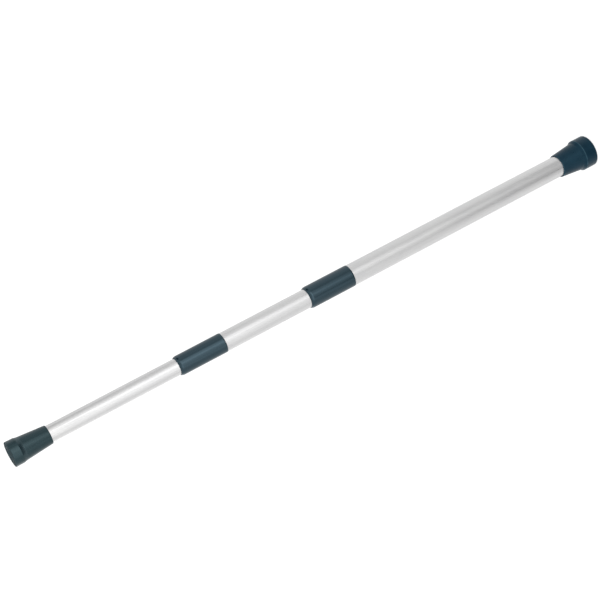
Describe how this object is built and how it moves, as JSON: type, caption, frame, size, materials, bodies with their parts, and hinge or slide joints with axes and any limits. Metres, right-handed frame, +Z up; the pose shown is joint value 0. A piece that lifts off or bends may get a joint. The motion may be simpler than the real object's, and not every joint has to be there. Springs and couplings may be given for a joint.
{
  "type": "telescopic support pole",
  "caption": "Telescopic support pole: nested aluminium tubes with twist locks inside, slim sleeve collars, and a flared rubber ferrule at each end.",
  "frame": {"origin": "centre of the base ferrule's sole", "axes": "+Z up along the pole, from the base ferrule to the tip; +X and +Y are any two directions across it"},
  "size_m": [0.038, 0.038, 0.7695],
  "materials": {
    "tube_aluminium": "satin, drawn and clear anodised",
    "collar_plastic": "satin moulded",
    "ferrule_rubber": "matte moulded",
    "plated_steel": "zinc plated",
    "lock_nylon": "moulded",
    "expander_plastic": "moulded, natural"
  },
  "bodies": {
    "outer_section": {"outer_tube": "tube_aluminium", "outer_collar": "collar_plastic", "base_ferrule": "ferrule_rubber", "base_washer": "plated_steel"},
    "middle_expander": {"middle_lock_expander": "expander_plastic"},
    "middle_cone": {"middle_lock_cone": "lock_nylon"},
    "middle_section": {"middle_tube": "tube_aluminium", "middle_collar": "collar_plastic", "middle_lock_plug": "lock_nylon", "middle_lock_pin": "plated_steel", "middle_lock_stud": "plated_steel", "middle_lock_nut": "plated_steel"},
    "inner_expander": {"inner_lock_expander": "expander_plastic"},
    "inner_cone": {"inner_lock_cone": "lock_nylon"},
    "inner_section": {"inner_tube": "tube_aluminium", "tip_ferrule": "ferrule_rubber", "tip_washer": "plated_steel", "inner_lock_plug": "lock_nylon", "inner_lock_pin": "plated_steel", "inner_lock_stud": "plated_steel", "inner_lock_nut": "plated_steel"}
  },
  "joints": [
    {"name": "middle_slide", "type": "slide", "parent": "outer_section", "child": "middle_expander", "axis": [0, 0, 1], "range_m": [-0.1087, 0.1856]},
    {"name": "middle_twist", "type": "hinge", "parent": "middle_expander", "child": "middle_section", "pos_m": [0, 0, 0.17], "axis": [0, 0, 1], "range_deg": [0, 720]},
    {"name": "middle_cone_draw", "type": "slide", "parent": "middle_expander", "child": "middle_cone", "axis": [0, 0, -1], "range_m": [0, 0.0025]},
    {"name": "inner_slide", "type": "slide", "parent": "middle_section", "child": "inner_expander", "axis": [0, 0, 1], "range_m": [-0.1547, 0.1261]},
    {"name": "inner_twist", "type": "hinge", "parent": "inner_expander", "child": "inner_section", "pos_m": [0, 0, 0.3965], "axis": [0, 0, 1], "range_deg": [0, 900]},
    {"name": "inner_cone_draw", "type": "slide", "parent": "inner_expander", "child": "inner_cone", "axis": [0, 0, -1], "range_m": [0, 0.0025]}
  ],
  "couplings": [
    {"joint": "middle_cone_draw", "follows": "middle_twist", "m_per_rad": 0.00019894},
    {"joint": "inner_cone_draw", "follows": "inner_twist", "m_per_rad": 0.00015915}
  ]
}
